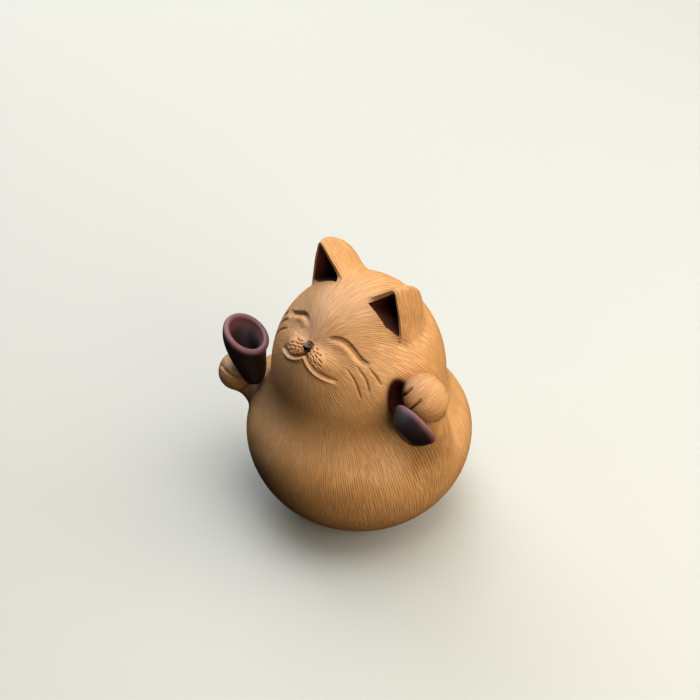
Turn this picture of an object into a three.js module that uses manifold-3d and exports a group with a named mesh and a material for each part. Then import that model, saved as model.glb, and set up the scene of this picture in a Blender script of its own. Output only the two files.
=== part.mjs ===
// Clay cat figurine: a gourd-shaped sitting cat that smiles with its eyes shut and
// holds two small dark cups. Millimetres, +Z up, the cat faces -Y and its own left
// side is +X. The origin is the middle of the flat underside.
import * as THREE from 'three';
import Module from 'manifold-3d';

// Belly and head, two ellipsoids blended into one gourd
const bellyRadius = 36.7;
const bellyWidestZ = 28.8;
const bellyRise = 25.5;
const bellyDrop = 32.0;
const headCentre = [0, -0.3, 53.75];
const headRadii = [28.4, 27.6, 33.6];
const neckBlend = 7.8;
const baseBlend = 1.6;
const bodyColumns = 52;
const bodyRows = 36;
const bodyMiddle = [0, 0, 45];
const bodyReach = 90;
const flatEnough = 1e-5;

// Soft swellings where the arms leave the body
const shoulders = [
  { centre: [30.5, 0.5, 42.0], radii: [7.4, 8.0, 12.5] },
  { centre: [-29.5, -8.5, 36.0], radii: [8.0, 7.0, 7.0] },
];
const shoulderBlend = 6.0;

// Muzzle pads and eye hollows on each side of the face
const muzzlePad = { centre: [5.0, -19.4, 71.6], radii: [6.0, 5.0, 4.2] };
const muzzleBlend = 2.5;
const eyeHollow = { x: 10.0, z: 76.4, width: 9.5, height: 6.0, depth: 1.7 };

// Ears: a hood with a three-cornered hollow that faces forward. The corners are in x
// and z, inner, outer and tip; sharpness is how little a corner is eased, and turnedIn is
// how far the front edge draws in
const earHood = {
  corners: [[3.7, 85.4], [21.6, 76.6], [17.6, 97.8]], front: -1.3, depth: 14.5, sharpness: 5,
  turnedIn: 0.09,
};
const earHollow = {
  corners: [[5.2, 85.0], [19.8, 77.6], [16.9, 95.4]], front: -3.2, depth: 9.8, sharpness: 11,
  turnedIn: 0,
};
const earEdgeDepth = 4.0;
const earBulge = 0.09;
const earRoundness = 0.8;
const earLean = -0.22;
const earSides = 20;
const earRows = 7;

// Arms run from the shoulder to the paw; the raised left arm is the longer one
const leftArm = [[28.0, 1.5, 35.0], [33.4, 0.2, 46.0], [34.3, -1.8, 56.0], [33.4, -3.0, 64.0]];
const leftArmRadius = 5.5;
const leftPaw = { centre: [33.0, -3.0, 65.6], radii: [7.8, 6.9, 6.9] };
const rightArm = [[-26.0, -10.0, 33.0], [-31.8, -15.4, 35.2], [-36.6, -18.8, 38.8]];
const rightArmRadius = 5.5;
const rightPaw = { centre: [-37.6, -19.3, 40.1], radii: [6.6, 6.3, 6.3] };
const armEnd = 0.05;
const armSteps = 12;
const armSides = 12;
const pawRows = 10;
const pawColumns = 16;

// Deep undercut in the chest behind the raised paw
const undercut = { centre: [26.2, -8.0, 61.2], radii: [3.6, 3.0, 7.4] };
const undercutRows = 8;
const undercutColumns = 12;

// Cups of dark clay: rims and feet as rings that a bent axis joins
const cupFloor = 1.8;
const cupLeastBore = 1.2;
const cupSides = 26;
const cupRows = 6;
const roomRows = 9;
const rightCup = {
  rim: [-32.0, -19.3, 59.6], rimAxis: [0.44, 0.235, 0.866], rimRadius: 8.2,
  foot: [-28.7, -20.0, 42.0], footAxis: [0.0, 0.0, 1.0], footRadius: 2.4, fullness: 1.3,
  wall: 2.1,
};
const leftCup = {
  rim: [35.8, -9.0, 59.1], rimAxis: [0.02, 0.917, 0.394], rimRadius: 8.1,
  foot: [35.67, -15.1, 56.5], footAxis: [0.02, 0.917, 0.394], footRadius: 3.0, fullness: 1.5,
  wall: 1.7,
};
const fitGap = 0.3;

// Nose: a small three-cornered pellet
const noseAt = [0, 74.1];
const noseWidth = 2.7;
const noseHeight = 2.5;
const noseDepth = 2.4;
const noseEase = 0.35;
const noseSharpness = 4;
const noseRows = 6;
const noseColumns = 12;

// Lines cut into the clay: each is a path in x and z on the front of the body
const eyeLine = {
  inner: 4.4, outer: 17.9, innerZ: 78.1, drop: 4.3, arch: 1.55, archLean: 0.8, radius: 0.62,
};
const mouthLine = { reach: 12.4, topZ: 72.6, drop: 4.1, curl: 2.1, skew: 1.0, radius: 0.75 };
const lipOffset = 1.15;
const lipStart = 0.12;
const lipRadius = 0.75;
const whiskers = [
  [[13.7, 72.0], [16.9, 69.4], [19.0, 66.1], [19.8, 63.8]],
  [[15.6, 73.0], [18.9, 70.2], [20.6, 67.4], [21.3, 65.4]],
  [[18.6, 72.6], [20.9, 70.4], [22.8, 67.6]],
];
const whiskerRadius = 0.5;
const toeGrooves = [-4.9, -0.3];
const toeArc = [0.22, 1.12];
const toeRadius = 0.8;
const pathSteps = 8;
const grooveSteps = 12;
const grooveSides = 5;
const shortGrooveSteps = 6;
const shortGrooveSides = 4;
const grooveFade = 0.4;

const wasm = await Module();
wasm.setup();

const vector = (list) => new THREE.Vector3(list[0], list[1], list[2]);
const mix = (a, b, t) => a + (b - a) * t;
const clamp = (t) => Math.min(1, Math.max(0, t));
const smoothStep = (t) => t * t * (3 - 2 * t);

// Distance-like value of an ellipsoid: below zero inside, about millimetres near it
function ellipsoid(point, centre, radii) {
  const q = point.map((value, i) => (value - centre[i]) / radii[i]);
  const near = Math.hypot(...q);
  const slope = Math.hypot(...q.map((value, i) => value / radii[i])) + 1e-9;
  return near * (near - 1) / slope;
}

// Union of two values with a fillet about as wide as blend
function blendUnion(a, b, blend) {
  const h = clamp(0.5 + 0.5 * (b - a) / blend);
  return mix(b, a, h) - blend * h * (1 - h);
}

// The whole body without ears and arms: below zero inside
function bodyValue(point) {
  const [x, y, z] = point;
  const half = z > bellyWidestZ ? bellyRise : bellyDrop;
  const belly = ellipsoid(point, [0, 0, bellyWidestZ], [bellyRadius, bellyRadius, half]);
  let value = blendUnion(belly, ellipsoid(point, headCentre, headRadii), neckBlend);
  for (const shoulder of shoulders) {
    value = blendUnion(value, ellipsoid(point, shoulder.centre, shoulder.radii), shoulderBlend);
  }
  const mirrored = [Math.abs(x), y, z];
  value = blendUnion(value, ellipsoid(mirrored, muzzlePad.centre, muzzlePad.radii), muzzleBlend);
  if (y < 0) {
    const u = (mirrored[0] - eyeHollow.x) / eyeHollow.width;
    const w = (z - eyeHollow.z) / eyeHollow.height;
    value += eyeHollow.depth * Math.exp(-u * u - w * w);
  }
  return -blendUnion(-value, z, baseBlend);
}

// Where a ray from start along direction leaves the body, by halving the interval
function leavePoint(start, direction, reach) {
  let inside = 0;
  let outside = reach;
  const at = (t) => start.map((value, i) => value + direction[i] * t);
  for (let step = 0; step < 40; step++) {
    const middle = (inside + outside) / 2;
    if (bodyValue(at(middle)) < 0) inside = middle;
    else outside = middle;
  }
  return at(outside);
}

const frontPoint = (x, z) => leavePoint([x, 0, z], [0, -1, 0], bodyReach);

// Closed surface from rings between two poles, turned so that its faces point out
function closedSurface(rows, columns, pointAt) {
  const positions = [...pointAt(0, 0)];
  for (let i = 1; i < rows; i++) {
    for (let j = 0; j < columns; j++) positions.push(...pointAt(i / rows, j / columns));
  }
  positions.push(...pointAt(1, 0));
  const last = positions.length / 3 - 1;
  const ring = (i, j) => 1 + (i - 1) * columns + (j % columns);
  const faces = [];
  for (let j = 0; j < columns; j++) {
    faces.push([0, ring(1, j), ring(1, j + 1)]);
    for (let i = 1; i < rows - 1; i++) {
      faces.push([ring(i, j), ring(i + 1, j), ring(i + 1, j + 1)]);
      faces.push([ring(i, j), ring(i + 1, j + 1), ring(i, j + 1)]);
    }
    faces.push([ring(rows - 1, j), last, ring(rows - 1, j + 1)]);
  }
  const corner = (k) => vector(positions.slice(3 * k, 3 * k + 3));
  let volume = 0;
  for (const [a, b, c] of faces) volume += corner(a).dot(corner(b).cross(corner(c)));
  if (volume < 0) faces.forEach((face) => face.reverse());
  const geometry = new THREE.BufferGeometry();
  geometry.setAttribute('position', new THREE.Float32BufferAttribute(positions, 3));
  geometry.setIndex(faces.flat());
  return geometry;
}

// Round tube along a curve; radiusAt gives its radius from 0 at one end to 1 at the other
function tube(points, radiusAt, steps, sides) {
  const curve = new THREE.CatmullRomCurve3(points.map(vector));
  const frames = curve.computeFrenetFrames(steps, false);
  return closedSurface(steps, sides, (s, t) => {
    const k = Math.round(s * steps);
    const angle = 2 * Math.PI * t;
    const radius = radiusAt(s);
    return curve.getPointAt(s)
      .addScaledVector(frames.normals[k], radius * Math.cos(angle))
      .addScaledVector(frames.binormals[k], radius * Math.sin(angle))
      .toArray();
  });
}

// Ellipsoid whose three radii lie along the given axes
function ellipsoidSolid(centre, radii, axes, rows, columns) {
  return closedSurface(rows, columns, (s, t) => {
    const polar = Math.PI * s;
    const angle = 2 * Math.PI * t;
    return vector(centre)
      .addScaledVector(axes[0], radii[0] * Math.sin(polar) * Math.cos(angle))
      .addScaledVector(axes[1], radii[1] * Math.sin(polar) * Math.sin(angle))
      .addScaledVector(axes[2], radii[2] * Math.cos(polar))
      .toArray();
  });
}

// The body is star-shaped about a point in the neck, so one ray finds each vertex
function bodySolid() {
  return closedSurface(bodyRows, bodyColumns, (s, t) => {
    const polar = Math.PI * s;
    const angle = 2 * Math.PI * t;
    const direction = [
      Math.sin(polar) * Math.cos(angle), Math.sin(polar) * Math.sin(angle), Math.cos(polar),
    ];
    const point = leavePoint(bodyMiddle, direction, bodyReach);
    if (Math.abs(point[2]) < flatEnough) point[2] = 0;
    return point;
  });
}

// Outline with three eased corners, moved out by grow; it takes the angle about its middle.
// The side from the second corner to the third swells by the share bulge
function threeCornered(corners, grow, sharpness, bulge = 0) {
  const middle = [0, 1].map((i) => (corners[0][i] + corners[1][i] + corners[2][i]) / 3);
  const sides = corners.map((from, k) => {
    const to = corners[(k + 1) % 3];
    let normal = [to[1] - from[1], from[0] - to[0]];
    const length = Math.hypot(...normal);
    normal = normal.map((value) => value / length);
    let distance = normal[0] * (from[0] - middle[0]) + normal[1] * (from[1] - middle[1]);
    if (distance < 0) {
      normal = normal.map((value) => -value);
      distance = -distance;
    }
    return { normal, distance: distance + grow };
  });
  return (angle) => {
    const ray = [Math.cos(angle), Math.sin(angle)];
    const shares = sides.map(({ normal }) => Math.max(0, ray[0] * normal[0] + ray[1] * normal[1]));
    const sum = shares.reduce((total, share, k) => total + (share / sides[k].distance) ** sharpness, 0);
    const radius = sum ** (-1 / sharpness) * (1 + bulge * shares[1] ** 2);
    return [middle[0] + ray[0] * radius, middle[1] + ray[1] * radius];
  };
}

// Hood or hollow: the outline at the front, closing to a point behind like a quarter round
function earSurface(side, form) {
  const outline = threeCornered(form.corners, 0, form.sharpness, earBulge);
  const [inner, outer] = form.corners;
  const anchor = [(inner[0] + outer[0]) / 2, (inner[1] + outer[1]) / 2];
  return closedSurface(earRows, earSides, (s, t) => {
    const row = Math.round(s * earRows);
    const turn = row === 0 ? 0 : (row - 1) / (earRows - 1) * Math.PI / 2;
    const back = form.depth * Math.sin(turn);
    const edge = 1 - form.turnedIn * (1 - Math.sin(clamp(back / earEdgeDepth) * Math.PI / 2));
    const scale = row === 0 || row === earRows ? 0 : edge * Math.cos(turn) ** earRoundness;
    const [x, z] = outline(2 * Math.PI * t);
    return [
      side * mix(anchor[0], x, scale), form.front + back,
      mix(anchor[1], z, scale) + earLean * back,
    ];
  });
}

// A point of a cup: along 0 is the foot, 1 the rim; the ring's axis turns on the way
function cupPoint(cup, along, angle, radius) {
  const axis = vector(cup.footAxis).lerp(vector(cup.rimAxis), along).normalize();
  const height = vector(cup.rim).distanceTo(vector(cup.foot));
  const middle = new THREE.CubicBezierCurve3(
    vector(cup.foot),
    vector(cup.foot).addScaledVector(vector(cup.footAxis).normalize(), height / 3),
    vector(cup.rim).addScaledVector(vector(cup.rimAxis).normalize(), -height / 3),
    vector(cup.rim),
  ).getPoint(along);
  const across = new THREE.Vector3(1, 0, 0).projectOnPlane(axis).normalize();
  const aside = axis.clone().cross(across);
  return middle
    .addScaledVector(across, radius * Math.cos(angle))
    .addScaledVector(aside, radius * Math.sin(angle))
    .toArray();
}

// Radius of the outer wall, a full curve from the foot to the rim
function cupRadius(cup, along) {
  const swell = (1 - (1 - along) ** cup.fullness) ** (1 / cup.fullness);
  return mix(cup.footRadius, cup.rimRadius, swell);
}

// A hollow cup: foot, outer wall, flat lip and inner wall down to the floor
function cupSolid(cup) {
  const height = vector(cup.rim).distanceTo(vector(cup.foot));
  const floor = cupFloor / height;
  const profile = [[0, 0]];
  for (let i = 0; i <= cupRows; i++) {
    const along = i / cupRows;
    profile.push([along, cupRadius(cup, along)]);
  }
  for (let i = cupRows; i >= 0; i--) {
    const along = mix(floor, 1, i / cupRows);
    profile.push([along, Math.max(cupLeastBore, cupRadius(cup, along) - cup.wall)]);
  }
  profile.push([floor, 0]);
  const rows = profile.length - 1;
  return closedSurface(rows, cupSides, (s, t) => {
    const [along, radius] = profile[Math.round(s * rows)];
    return cupPoint(cup, along, 2 * Math.PI * t, radius);
  });
}

// The room that a cup takes up in the paw that holds it
function cupRoom(cup) {
  const height = vector(cup.rim).distanceTo(vector(cup.foot));
  const gap = fitGap / height;
  return closedSurface(roomRows, cupSides, (s, t) => {
    const row = Math.round(s * roomRows);
    const along = mix(-gap, 1 + gap, clamp((row - 1) / (roomRows - 2)));
    const atEnd = row === 0 || row === roomRows;
    const radius = atEnd ? 0 : cupRadius(cup, clamp(along)) + fitGap;
    return cupPoint(cup, along, 2 * Math.PI * t, radius);
  });
}

// Rounded three-cornered pellet set into the face; grow makes its socket
function noseSolid(grow) {
  const [x0, z0] = noseAt;
  const face = frontPoint(x0, z0);
  const outline = threeCornered([
    [-noseWidth / 2, noseHeight / 2], [noseWidth / 2, noseHeight / 2], [0, -noseHeight / 2],
  ], grow + noseEase, noseSharpness);
  return closedSurface(noseRows, noseColumns, (s, t) => {
    const polar = Math.PI * s;
    const [x, z] = outline(2 * Math.PI * t);
    const bulge = Math.sin(polar);
    const y = face[1] - (noseDepth / 2 + grow) * Math.cos(polar);
    return [x0 + x * bulge, y, z0 + z * bulge];
  });
}

// Paths of the cut lines, from the named shapes, for the side +1 or -1
function eyePath(side) {
  const path = [];
  for (let i = 0; i <= pathSteps; i++) {
    const t = i / pathSteps;
    const x = mix(eyeLine.inner, eyeLine.outer, t);
    const rise = eyeLine.arch * Math.sin(Math.PI * t ** eyeLine.archLean);
    path.push(frontPoint(side * x, eyeLine.innerZ - eyeLine.drop * smoothStep(t) + rise));
  }
  return path;
}

function mouthPath(side, lower) {
  const path = [];
  for (let i = 0; i <= pathSteps; i++) {
    const t = i / pathSteps;
    const fall = 1 - (1 - t) ** mouthLine.curl;
    const x = side * mouthLine.reach * t + mouthLine.skew * fall;
    const lift = lower * Math.sin(Math.PI * clamp(lipStart + t));
    path.push(frontPoint(x, mouthLine.topZ - mouthLine.drop * fall - lift));
  }
  return path;
}

// Directions of a paw: across the toes, along the toes, and out of the back of the paw
function pawAxes(across, along) {
  const first = vector(across).normalize();
  const second = vector(along).projectOnPlane(first).normalize();
  return [first, second, second.clone().cross(first)];
}

const uprightAxes = [vector([1, 0, 0]), vector([0, 1, 0]), vector([0, 0, 1])];
const leftPawAxes = pawAxes([0.80, 0.17, -0.57], [-0.10, -0.90, -0.42]);
const rightPawAxes = pawAxes([0.15, 0.55, 0.82], [0.55, -0.83, 0.05]);

// Grooves that part the toes: arcs on the paw from its back to the toe tips
function toePaths(paw, axes) {
  const [across, along, out] = axes;
  return toeGrooves.map((place) => {
    const narrowing = Math.sqrt(1 - (place / paw.radii[0]) ** 2);
    const path = [];
    for (let i = 0; i <= pathSteps; i++) {
      const turn = mix(toeArc[0], toeArc[1], i / pathSteps) * Math.PI / 2;
      path.push(vector(paw.centre)
        .addScaledVector(across, place)
        .addScaledVector(along, paw.radii[1] * narrowing * Math.sin(turn))
        .addScaledVector(out, paw.radii[2] * narrowing * Math.cos(turn))
        .toArray());
    }
    return path;
  });
}

// Joining and cutting
function toManifold(geometry) {
  return new wasm.Manifold(new wasm.Mesh({
    numProp: 3,
    vertProperties: new Float32Array(geometry.getAttribute('position').array),
    triVerts: new Uint32Array(geometry.getIndex().array),
  }));
}

function toGeometry(solid) {
  const mesh = solid.getMesh();
  const geometry = new THREE.BufferGeometry();
  geometry.setAttribute('position', new THREE.BufferAttribute(mesh.vertProperties, 3));
  geometry.setIndex(new THREE.BufferAttribute(mesh.triVerts, 1));
  return geometry;
}

// Radii along a tube: a groove fades out at both ends, an arm ends round
const fadedGroove = (radius) => (s) => radius * Math.sin(Math.PI * s) ** grooveFade;
const roundEnded = (radius) => (s) => radius * Math.sqrt(Math.sin(Math.PI * mix(armEnd, 1 - armEnd, s)));

function catSolid() {
  const joined = [
    tube(leftArm, roundEnded(leftArmRadius), armSteps, armSides),
    tube(rightArm, roundEnded(rightArmRadius), armSteps, armSides),
    ellipsoidSolid(leftPaw.centre, leftPaw.radii, leftPawAxes, pawRows, pawColumns),
    ellipsoidSolid(rightPaw.centre, rightPaw.radii, rightPawAxes, pawRows, pawColumns),
  ];
  const removed = [cupRoom(rightCup), cupRoom(leftCup), noseSolid(fitGap)];
  for (const side of [-1, 1]) {
    joined.push(earSurface(side, earHood));
    joined.push(tube(mouthPath(side, lipOffset), fadedGroove(lipRadius), grooveSteps, grooveSides));
    removed.push(earSurface(side, earHollow));
    removed.push(tube(eyePath(side), fadedGroove(eyeLine.radius), grooveSteps, grooveSides));
    removed.push(tube(mouthPath(side, 0), fadedGroove(mouthLine.radius), grooveSteps, grooveSides));
    for (const line of whiskers) {
      const path = line.map(([x, z]) => frontPoint(side * x, z));
      removed.push(tube(path, fadedGroove(whiskerRadius), shortGrooveSteps, shortGrooveSides));
    }
  }
  for (const path of [...toePaths(leftPaw, leftPawAxes), ...toePaths(rightPaw, rightPawAxes)]) {
    removed.push(tube(path, fadedGroove(toeRadius), shortGrooveSteps, shortGrooveSides));
  }
  const deepUndercut = ellipsoidSolid(
    undercut.centre, undercut.radii, uprightAxes, undercutRows, undercutColumns);
  let cat = toManifold(bodySolid()).subtract(toManifold(deepUndercut));
  for (const geometry of joined) cat = cat.add(toManifold(geometry));
  for (const geometry of removed) cat = cat.subtract(toManifold(geometry));
  return toGeometry(cat);
}

const yellowClay = new THREE.MeshStandardMaterial({ color: '#c99258', roughness: 0.8, metalness: 0 });
const darkClay = new THREE.MeshStandardMaterial({ color: '#341a16', roughness: 0.5, metalness: 0 });
const blackClay = new THREE.MeshStandardMaterial({ color: '#150c0a', roughness: 0.25, metalness: 0 });

const figurine = new THREE.Group();
function addPiece(name, geometry, material) {
  geometry.computeVertexNormals();
  const mesh = new THREE.Mesh(geometry, material);
  mesh.name = name;
  figurine.add(mesh);
}

addPiece('cat_body', catSolid(), yellowClay);
addPiece('right_cup', cupSolid(rightCup), darkClay);
addPiece('left_cup', cupSolid(leftCup), darkClay);
addPiece('nose', noseSolid(0), blackClay);

export default figurine;
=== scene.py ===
from math import cos, radians, sin

import bpy
import numpy as np
from mathutils import Matrix


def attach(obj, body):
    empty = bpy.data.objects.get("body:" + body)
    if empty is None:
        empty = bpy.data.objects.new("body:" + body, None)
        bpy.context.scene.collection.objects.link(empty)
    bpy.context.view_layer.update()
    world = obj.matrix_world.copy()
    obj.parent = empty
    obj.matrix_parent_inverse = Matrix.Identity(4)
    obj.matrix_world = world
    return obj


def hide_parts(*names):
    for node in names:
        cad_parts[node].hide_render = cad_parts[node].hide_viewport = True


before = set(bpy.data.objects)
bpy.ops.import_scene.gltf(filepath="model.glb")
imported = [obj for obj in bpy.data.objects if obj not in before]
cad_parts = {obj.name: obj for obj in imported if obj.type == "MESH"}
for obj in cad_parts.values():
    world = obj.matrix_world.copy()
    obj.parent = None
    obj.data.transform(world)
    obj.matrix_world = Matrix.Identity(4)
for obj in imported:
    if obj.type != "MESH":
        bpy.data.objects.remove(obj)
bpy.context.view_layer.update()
mm = 0.001  # everything below is worked out in millimetres and leaves as metres


# Small tools for surfaces
def unit(v):
    v = np.asarray(v, float)
    return v / np.linalg.norm(v, axis=-1, keepdims=True)


def smoothStep(t):  # 3t^2 - 2t^3 between 0 and 1, level at both ends
    t = np.clip(t, 0.0, 1.0)
    return t * t * (3 - 2 * t)


def ramp(value, start, over):  # 0 up to start, then smoothly to 1 at start + over
    return smoothStep((value - start) / over)


def blendUnion(a, b, blend):  # smaller of two values, less blend*h*(1-h) where they are near
    h = np.clip(0.5 + 0.5 * (b - a) / blend, 0, 1)
    return b + (a - b) * h - blend * h * (1 - h)


def ellipsoidValue(points, centre, radii, axes=np.eye(3)):
    # with q = offset / radii: length of q, times that less one, over the length of q / radii
    q = ((points - np.asarray(centre, float)) @ np.asarray(axes).T) / radii
    near = np.linalg.norm(q, axis=-1)
    return near * (near - 1) / (np.linalg.norm(q / radii, axis=-1) + 1e-9)


def newObject(name, points, faces, material=None):
    mesh = bpy.data.meshes.new(name)
    mesh.from_pydata((np.asarray(points) * mm).tolist(), [], faces)
    mesh.validate()
    thing = bpy.data.objects.new(name, mesh)
    bpy.context.scene.collection.objects.link(thing)
    if material:
        mesh.materials.append(material)
    return thing


def closedObject(name, rings, material=None):
    # rings is rows x columns x 3; the first and last row are poles, all in between are rings.
    # The volume summed over the rings tells which way the faces turn
    rows, columns = rings.shape[:2]
    points = np.concatenate([rings[0, :1], rings[1:-1].reshape(-1, 3), rings[-1, :1]])
    here = 1 + np.arange((rows - 2) * columns).reshape(rows - 2, columns)
    beside = np.roll(here, -1, axis=1)
    quads = np.stack([here[:-1], here[1:], beside[1:], beside[:-1]], -1).reshape(-1, 4)
    a, b, c, d = (points[quads[:, k]] - points.mean(0) for k in range(4))
    volume = np.einsum("ij,ij->", a, np.cross(b, c)) + np.einsum("ij,ij->", a, np.cross(c, d))
    caps = [np.stack([np.zeros(columns, int), here[0], beside[0]], -1),
            np.stack([np.full(columns, len(points) - 1), beside[-1], here[-1]], -1)]
    if volume < 0:
        quads, caps = quads[:, ::-1], [cap[:, ::-1] for cap in caps]
    faces = quads.tolist() + caps[0].tolist() + caps[1].tolist()
    return newObject(name, points, faces, material)


def meshPoints(thing):
    flat = np.empty(len(thing.data.vertices) * 3)
    thing.data.vertices.foreach_get("co", flat)
    return flat.reshape(-1, 3) / mm


def setMeshPoints(thing, points):
    thing.data.vertices.foreach_set("co", (points * mm).ravel())
    thing.data.update()


def meshNormals(thing):
    flat = np.empty(len(thing.data.vertices) * 3)
    thing.data.vertex_normals.foreach_get("vector", flat)
    return flat.reshape(-1, 3)


def combine(base, others, operation):  # joins or cuts, then keeps the finished mesh alone
    for other in others:
        step = base.modifiers.new(operation.lower(), "BOOLEAN")
        step.operation, step.object, step.solver = operation, other, "MANIFOLD"
        step.material_mode = "TRANSFER"
    graph = bpy.context.evaluated_depsgraph_get()
    mesh = bpy.data.meshes.new_from_object(base.evaluated_get(graph))
    base.modifiers.clear()
    base.data = mesh
    for other in others:
        bpy.data.objects.remove(other)


# The body: belly, head, shoulders, muzzle and eye hollows in one value
bodyForm = {
    "bellyRadius": 36.7, "bellyWidestZ": 28.8, "bellyRise": 25.5, "bellyDrop": 32.0,
    "headCentre": (0, -0.3, 53.75), "headRadii": (28.4, 27.6, 33.6),
    "neckBlend": 7.8, "baseBlend": 1.6,
    "shoulders": (((30.5, 0.5, 42.0), (7.4, 8.0, 12.5)), ((-29.5, -8.5, 36.0), (8.0, 7.0, 7.0))),
    "shoulderBlend": 6.0,
    "muzzlePad": ((5.0, -19.4, 71.6), (6.0, 5.0, 4.2)), "muzzleBlend": 2.5,
    "eyeHollow": {"x": 10.0, "z": 76.4, "width": 9.5, "height": 6.0, "depth": 1.7},
    "middle": (0.0, 0.0, 45.0),
    "undercut": ((26.2, -8.0, 61.2), (3.6, 3.0, 7.4)), "undercutBlend": 1.2,   # behind the raised paw
    "columns": 480, "rows": 160,
    "steps": (0.28, 0.42, 1.7), "stepsFrom": (0, 75), "stepsOver": (45, 80),   # from row to row
    "towardsView": 0.4,   # share by which columns crowd on the cat's left, where most is seen
}
noseAt = (0.0, 74.1)
undercutInnerX = 30.0   # beyond it what lies near the undercut is the paw


def bodyValue(points):
    # ellipsoids joined by blends, the flat base cut by a blend, the eye hollows a bell taken off
    form = bodyForm
    z = points[..., 2]
    half = np.where(z > form["bellyWidestZ"], form["bellyRise"], form["bellyDrop"])
    radii = np.stack([np.full_like(z, form["bellyRadius"])] * 2 + [half], -1)
    value = ellipsoidValue(points, (0, 0, form["bellyWidestZ"]), radii)
    head = ellipsoidValue(points, form["headCentre"], form["headRadii"])
    value = blendUnion(value, head, form["neckBlend"])
    for centre, size in form["shoulders"]:
        value = blendUnion(value, ellipsoidValue(points, centre, size), form["shoulderBlend"])
    mirrored = points.copy()
    mirrored[..., 0] = np.abs(points[..., 0])
    value = blendUnion(value, ellipsoidValue(mirrored, *form["muzzlePad"]), form["muzzleBlend"])
    eye = form["eyeHollow"]
    u = (mirrored[..., 0] - eye["x"]) / eye["width"]
    w = (z - eye["z"]) / eye["height"]
    value = value + np.where(points[..., 1] < 0, eye["depth"] * np.exp(-u * u - w * w), 0)
    return -blendUnion(-value, z, form["baseBlend"])


def leaveDistance(value, start, direction, reach):  # halves the interval in which value turns positive
    low, high = np.zeros(direction.shape[:-1]), np.full(direction.shape[:-1], float(reach))
    for _ in range(28):
        middle = (low + high) / 2
        inside = value(start + direction * middle[..., None]) < 0
        low, high = np.where(inside, middle, low), np.where(inside, high, middle)
    return high


def frontPoint(x, z):  # the point of the face at x and z
    x, z = np.broadcast_arrays(np.asarray(x, float), np.asarray(z, float))
    start = np.stack([x, np.zeros_like(x), z], -1)
    direction = np.broadcast_to([0.0, -1.0, 0.0], start.shape)
    return start + direction * leaveDistance(bodyValue, start, direction, 60)[..., None]


noseTilt = np.arctan2(-frontPoint(*noseAt)[1], noseAt[1] - bodyForm["middle"][2])


def bodyRings():
    # Seen from the middle, a direction is a point of a plane by w = tan(angle from up / 2), with
    # the turn about Z as its argument. Rings are circles about the nose's own point of the plane,
    # so the columns run as fur does, from the nose over head and chest to the base
    rows, columns = bodyForm["rows"], bodyForm["columns"]
    step = np.full(rows, bodyForm["steps"][0])
    for more, first, over in zip(bodyForm["steps"][1:], bodyForm["stepsFrom"], bodyForm["stepsOver"]):
        step += more * ramp(np.arange(rows), first, over)
    share = np.concatenate([[0], np.cumsum(step) / step.sum()])
    front = noseTilt + (np.pi - noseTilt) * share
    reach = np.tan(front / 2) - np.tan(noseTilt / 2)
    reach[-1] = 1e12
    turn = 2 * np.pi * np.arange(columns) / columns
    turn = turn - bodyForm["towardsView"] * np.sin(turn)
    w = -1j * np.tan(noseTilt / 2) + reach[:, None] * np.exp(1j * turn)
    size = np.abs(w) ** 2
    direction = np.stack([2 * w.real, 2 * w.imag, 1 - size], -1) / (1 + size)[..., None]
    middle = np.array(bodyForm["middle"])
    rings = middle + direction * leaveDistance(bodyValue, middle, direction, 90)[..., None]
    rings[..., 2] = np.where(np.abs(rings[..., 2]) < 1e-4, 0, rings[..., 2])
    return rings


# Ears: a hood with a three-cornered hollow that faces forward
earForm = {
    "hood": {"corners": ((3.7, 85.4), (21.6, 76.6), (17.6, 97.8)), "front": -1.3, "depth": 14.5,
             "sharpness": 5, "turnedIn": 0.09},
    "hollow": {"corners": ((6.2, 85.0), (19.6, 79.2), (16.9, 95.2)), "front": -3.2, "depth": 9.8,
               "sharpness": 11, "turnedIn": 0.0},
    "edgeDepth": 4.0, "bulge": 0.09, "roundness": 0.8, "lean": -0.22,
    "columns": 100, "rows": 38, "blend": 2.6,
}


def threeCornered(corners, sharpness, bulge=0.0):
    # radius at an angle: each side of the triangle gives its share, raised and summed like a norm;
    # the second side swells by bulge times the square of the cosine between ray and side's normal
    corners = np.asarray(corners, float)
    middle = corners.mean(0)
    along = np.roll(corners, -1, axis=0) - corners
    normals = unit(np.stack([along[:, 1], -along[:, 0]], -1))
    distance = np.einsum("ij,ij->i", normals, corners - middle)
    normals, distance = normals * np.sign(distance)[:, None], np.abs(distance)

    def radius(angle):
        facing = np.clip(np.stack([np.cos(angle), np.sin(angle)], -1) @ normals.T, 1e-9, None)
        plain = ((facing / distance) ** sharpness).sum(-1) ** (-1 / sharpness)
        return plain * (1 + bulge * facing[..., 1] ** 2)
    return middle, radius


def earScale(form, back):
    # the outline's size behind the front: a quarter round by a power, less what the edge turns in
    share = np.clip(back / form["depth"], 0, 1)
    edge = 1 - form["turnedIn"] * (1 - np.sin(np.clip(back / earForm["edgeDepth"], 0, 1) * np.pi / 2))
    return edge * (1 - share ** 2) ** (earForm["roundness"] / 2)


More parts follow.
